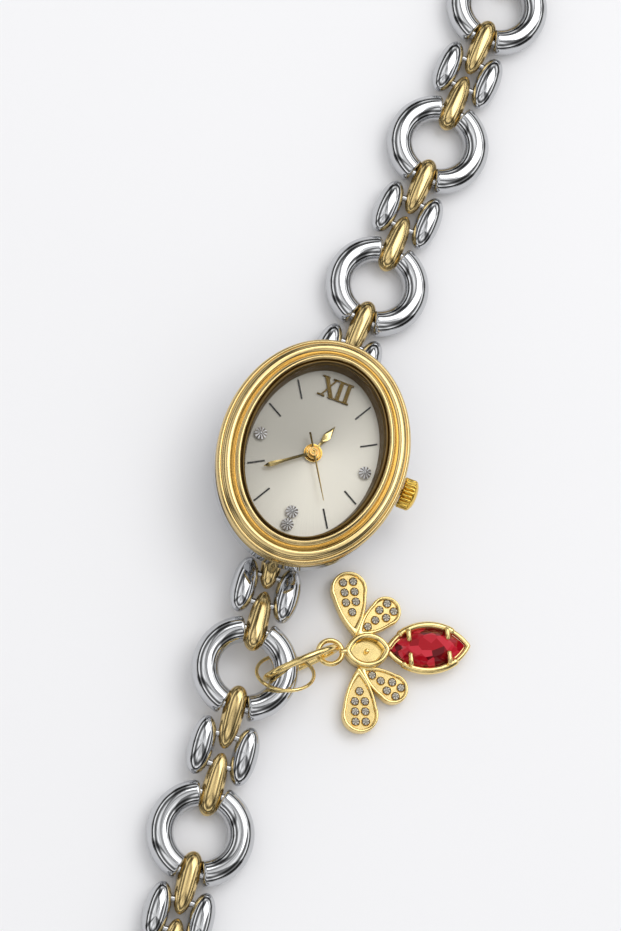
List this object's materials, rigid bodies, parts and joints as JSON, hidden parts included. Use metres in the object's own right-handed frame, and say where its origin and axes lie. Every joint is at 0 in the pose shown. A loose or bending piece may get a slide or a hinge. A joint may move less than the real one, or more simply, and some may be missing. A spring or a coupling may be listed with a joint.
{
  "type": "bracelet watch",
  "caption": "Oval bracelet watch with a gilt bezel, Roman twelve, open link band of steel rings, beads and gilt links, and a hanging bee charm with a red stone.",
  "frame": {"origin": "middle of the case back's flat face, where the watch lies on the table", "axes": "+Z out through the dial, +Y towards 12 o'clock along the band, +X towards the crown at 3 o'clock"},
  "size_m": [0.0328, 0.1511, 0.0088],
  "materials": {
    "polished_steel": "polished stainless steel",
    "brushed_steel": "fine brushed steel",
    "champagne_gold": "pale champagne gold plate, polished",
    "yellow_gold": "yellow gold plate, polished",
    "crystal_glass": "clear polished crystal",
    "black_rubber": "soft black seal rubber",
    "silver_dial": "silver cream lacquer with a fine sunray brushing",
    "black_lacquer": "gloss black",
    "clear_stone": "clear cut stone",
    "red_stone": "deep red cut stone",
    "movement_brass": "satin movement plate",
    "copper_wire": "lacquered copper winding",
    "white_plastic": "moulded white plastic"
  },
  "bodies": {
    "case": {"case_middle": "polished_steel", "lug_bars": "brushed_steel", "bezel": "champagne_gold", "crystal": "crystal_glass", "crystal_gasket": "black_rubber", "dial": "silver_dial", "numeral_twelve": "yellow_gold", "hour_batons": "black_lacquer", "dial_stones": "clear_stone", "movement_plate": "movement_brass", "battery": "brushed_steel", "coil": "copper_wire", "movement_holder": "white_plastic", "crown_gasket": "black_rubber", "case_back": "brushed_steel", "case_back_gasket": "black_rubber"},
    "hour_hand": {"hour_hand": "yellow_gold"},
    "minute_hand": {"minute_hand": "yellow_gold"},
    "second_hand": {"second_hand": "yellow_gold"},
    "setting_lever": {"setting_lever": "brushed_steel"},
    "crown": {"crown": "yellow_gold", "stem": "brushed_steel"},
    "north_lug_link": {"north_lug_link": "champagne_gold"},
    "north_bead_pair_1": {"north_bead_pair_1": "polished_steel"},
    "north_gold_link_1": {"north_gold_link_1": "champagne_gold"},
    "north_ring_1": {"north_ring_1": "polished_steel"},
    "north_gold_link_2": {"north_gold_link_2": "champagne_gold"},
    "north_bead_pair_2": {"north_bead_pair_2": "polished_steel"},
    "north_gold_link_3": {"north_gold_link_3": "champagne_gold"},
    "north_ring_2": {"north_ring_2": "polished_steel"},
    "north_gold_link_4": {"north_gold_link_4": "champagne_gold"},
    "north_bead_pair_3": {"north_bead_pair_3": "polished_steel"},
    "north_gold_link_5": {"north_gold_link_5": "champagne_gold"},
    "north_ring_3": {"north_ring_3": "polished_steel"},
    "north_end_link": {"north_end_link": "champagne_gold"},
    "clasp_base": {"clasp_base": "polished_steel", "clasp_pin": "polished_steel"},
    "clasp_cover": {"clasp_cover": "polished_steel"},
    "south_lug_link": {"south_lug_link": "champagne_gold"},
    "south_bead_pair_1": {"south_bead_pair_1": "polished_steel"},
    "south_gold_link_1": {"south_gold_link_1": "champagne_gold"},
    "south_ring_1": {"south_ring_1": "polished_steel"},
    "south_gold_link_2": {"south_gold_link_2": "champagne_gold"},
    "south_bead_pair_2": {"south_bead_pair_2": "polished_steel"},
    "south_gold_link_3": {"south_gold_link_3": "champagne_gold"},
    "south_ring_2": {"south_ring_2": "polished_steel"},
    "south_gold_link_4": {"south_gold_link_4": "champagne_gold"},
    "south_bead_pair_3": {"south_bead_pair_3": "polished_steel"},
    "south_gold_link_5": {"south_gold_link_5": "champagne_gold"},
    "south_ring_3": {"south_ring_3": "polished_steel"},
    "south_end_link": {"south_end_link": "champagne_gold"},
    "clasp_loop": {"clasp_loop": "polished_steel"},
    "jump_ring": {"jump_ring": "yellow_gold"},
    "spare_ring": {"spare_ring": "yellow_gold"},
    "charm": {"charm_body": "yellow_gold", "charm_red_stone": "red_stone", "charm_wing_stones": "clear_stone"}
  },
  "joints": [
    {"name": "minute_hand_turn", "type": "hinge", "parent": "case", "child": "minute_hand", "pos_m": [0, 0, 0.00585], "axis": [0, 0, -1], "continuous": true},
    {"name": "hour_hand_turn", "type": "hinge", "parent": "case", "child": "hour_hand", "pos_m": [0, 0, 0.00585], "axis": [0, 0, -1], "continuous": true},
    {"name": "second_hand_turn", "type": "hinge", "parent": "case", "child": "second_hand", "pos_m": [0, 0, 0.00585], "axis": [0, 0, -1], "continuous": true},
    {"name": "crown_pull", "type": "slide", "parent": "case", "child": "setting_lever", "axis": [1, 0, 0], "range_m": [0, 0.0008]},
    {"name": "crown_turn", "type": "hinge", "parent": "setting_lever", "child": "crown", "pos_m": [0.0101, 0, 0.0049], "axis": [1, 0, 0], "continuous": true},
    {"name": "north_lug_link_turn", "type": "hinge", "parent": "case", "child": "north_lug_link", "pos_m": [0, 0.00885, 0.0014], "axis": [0.9984, -0.0558, 0], "range_deg": [-45, 4]},
    {"name": "north_bead_pair_1_turn", "type": "hinge", "parent": "north_lug_link", "child": "north_bead_pair_1", "pos_m": [0.00014, 0.0113, 0.0014], "axis": [-0.9984, 0.0558, 0], "range_deg": [-30, 30]},
    {"name": "north_gold_link_1_turn", "type": "hinge", "parent": "north_bead_pair_1", "child": "north_gold_link_1", "pos_m": [0.00032, 0.01449, 0.0014], "axis": [0.9984, -0.0558, 0], "range_deg": [-40, 40]},
    {"name": "north_ring_1_turn", "type": "hinge", "parent": "north_gold_link_1", "child": "north_ring_1", "pos_m": [0.00049, 0.01759, 0.0014], "axis": [-0.9984, 0.0558, 0], "range_deg": [-40, 40]},
    {"name": "north_gold_link_2_turn", "type": "hinge", "parent": "north_ring_1", "child": "north_gold_link_2", "pos_m": [0.00096, 0.02597, 0.0014], "axis": [0.9984, -0.0558, 0], "range_deg": [-40, 40]},
    {"name": "north_bead_pair_2_turn", "type": "hinge", "parent": "north_gold_link_2", "child": "north_bead_pair_2", "pos_m": [0.00113, 0.02907, 0.0014], "axis": [-0.9984, 0.0558, 0], "range_deg": [-40, 40]},
    {"name": "north_gold_link_3_turn", "type": "hinge", "parent": "north_bead_pair_2", "child": "north_gold_link_3", "pos_m": [0.00131, 0.03226, 0.0014], "axis": [0.9984, -0.0558, 0], "range_deg": [-40, 40]},
    {"name": "north_ring_2_turn", "type": "hinge", "parent": "north_gold_link_3", "child": "north_ring_2", "pos_m": [0.00148, 0.03536, 0.0014], "axis": [-0.9984, 0.0558, 0], "range_deg": [-40, 40]},
    {"name": "north_gold_link_4_turn", "type": "hinge", "parent": "north_ring_2", "child": "north_gold_link_4", "pos_m": [0.00195, 0.04375, 0.0014], "axis": [0.9984, -0.0558, 0], "range_deg": [-40, 40]},
    {"name": "north_bead_pair_3_turn", "type": "hinge", "parent": "north_gold_link_4", "child": "north_bead_pair_3", "pos_m": [0.00212, 0.04684, 0.0014], "axis": [-0.9984, 0.0558, 0], "range_deg": [-40, 40]},
    {"name": "north_gold_link_5_turn", "type": "hinge", "parent": "north_bead_pair_3", "child": "north_gold_link_5", "pos_m": [0.0023, 0.05004, 0.0014], "axis": [0.9984, -0.0558, 0], "range_deg": [-40, 40]},
    {"name": "north_ring_3_turn", "type": "hinge", "parent": "north_gold_link_5", "child": "north_ring_3", "pos_m": [0.00248, 0.05313, 0.0014], "axis": [-0.9984, 0.0558, 0], "range_deg": [-40, 40]},
    {"name": "north_end_link_turn", "type": "hinge", "parent": "north_ring_3", "child": "north_end_link", "pos_m": [0.00294, 0.06152, 0.0014], "axis": [0.9984, -0.0558, 0], "range_deg": [-40, 40]},
    {"name": "clasp_base_turn", "type": "hinge", "parent": "north_end_link", "child": "clasp_base", "pos_m": [0.00312, 0.06461, 0.0014], "axis": [-0.9984, 0.0558, 0], "range_deg": [-40, 40]},
    {"name": "clasp_cover_open", "type": "hinge", "parent": "clasp_base", "child": "clasp_cover", "pos_m": [0.0039, 0.07859, 0.0014], "axis": [-0.9984, 0.0558, 0], "range_deg": [0, 110]},
    {"name": "south_lug_link_turn", "type": "hinge", "parent": "case", "child": "south_lug_link", "pos_m": [0, -0.00885, 0.0014], "axis": [-0.9965, -0.0837, 0], "range_deg": [-45, 4]},
    {"name": "south_bead_pair_1_turn", "type": "hinge", "parent": "south_lug_link", "child": "south_bead_pair_1", "pos_m": [0.00034, -0.01286, 0.00189], "axis": [0.9965, 0.0837, 0], "range_deg": [-30, 30]},
    {"name": "south_gold_link_1_turn", "type": "hinge", "parent": "south_bead_pair_1", "child": "south_gold_link_1", "pos_m": [0.0006, -0.01602, 0.00228], "axis": [-0.9965, -0.0837, 0], "range_deg": [-40, 40]},
    {"name": "south_ring_1_turn", "type": "hinge", "parent": "south_gold_link_1", "child": "south_ring_1", "pos_m": [0.00086, -0.01909, 0.00265], "axis": [0.9965, 0.0837, 0], "range_deg": [-40, 40]},
    {"name": "south_gold_link_2_turn", "type": "hinge", "parent": "south_ring_1", "child": "south_gold_link_2", "pos_m": [0.00156, -0.02746, 0.00265], "axis": [-0.9965, -0.0837, 0], "range_deg": [-40, 40]},
    {"name": "south_bead_pair_2_turn", "type": "hinge", "parent": "south_gold_link_2", "child": "south_bead_pair_2", "pos_m": [0.00182, -0.03052, 0.00224], "axis": [0.9965, 0.0837, 0], "range_deg": [-40, 40]},
    {"name": "south_gold_link_3_turn", "type": "hinge", "parent": "south_bead_pair_2", "child": "south_gold_link_3", "pos_m": [0.00209, -0.03368, 0.00181], "axis": [-0.9965, -0.0837, 0], "range_deg": [-40, 40]},
    {"name": "south_ring_2_turn", "type": "hinge", "parent": "south_gold_link_3", "child": "south_ring_2", "pos_m": [0.00234, -0.03674, 0.0014], "axis": [0.9965, 0.0837, 0], "range_deg": [-40, 40]},
    {"name": "south_gold_link_4_turn", "type": "hinge", "parent": "south_ring_2", "child": "south_gold_link_4", "pos_m": [0.00305, -0.04511, 0.0014], "axis": [-0.9965, -0.0837, 0], "range_deg": [-40, 40]},
    {"name": "south_bead_pair_3_turn", "type": "hinge", "parent": "south_gold_link_4", "child": "south_bead_pair_3", "pos_m": [0.0033, -0.0482, 0.0014], "axis": [0.9965, 0.0837, 0], "range_deg": [-40, 40]},
    {"name": "south_gold_link_5_turn", "type": "hinge", "parent": "south_bead_pair_3", "child": "south_gold_link_5", "pos_m": [0.00357, -0.05139, 0.0014], "axis": [-0.9965, -0.0837, 0], "range_deg": [-40, 40]},
    {"name": "south_ring_3_turn", "type": "hinge", "parent": "south_gold_link_5", "child": "south_ring_3", "pos_m": [0.00383, -0.05448, 0.0014], "axis": [0.9965, 0.0837, 0], "range_deg": [-40, 40]},
    {"name": "south_end_link_turn", "type": "hinge", "parent": "south_ring_3", "child": "south_end_link", "pos_m": [0.00453, -0.06285, 0.0014], "axis": [-0.9965, -0.0837, 0], "range_deg": [-40, 40]},
    {"name": "clasp_loop_turn", "type": "hinge", "parent": "south_end_link", "child": "clasp_loop", "pos_m": [0.00479, -0.06594, 0.0014], "axis": [0.9965, 0.0837, 0], "range_deg": [-40, 40]},
    {"name": "jump_ring_swing", "type": "hinge", "parent": "south_ring_1", "child": "jump_ring", "pos_m": [0.00516, -0.02184, 0.00265], "axis": [0.342, -0.9397, 0], "range_deg": [-4, 4]},
    {"name": "spare_ring_rock", "type": "hinge", "parent": "jump_ring", "child": "spare_ring", "pos_m": [0.00527, -0.02219, 0.00265], "axis": [0.9272, 0.3746, 0], "range_deg": [-2, 2]},
    {"name": "charm_swivel", "type": "hinge", "parent": "jump_ring", "child": "charm", "pos_m": [0.00904, -0.01809, 0.0016], "axis": [0, 0, 1], "range_deg": [-25, 4]}
  ],
  "couplings": [
    {"joint": "hour_hand_turn", "follows": "minute_hand_turn", "ratio": 0.083333},
    {"joint": "second_hand_turn", "follows": "minute_hand_turn", "ratio": 60}
  ]
}
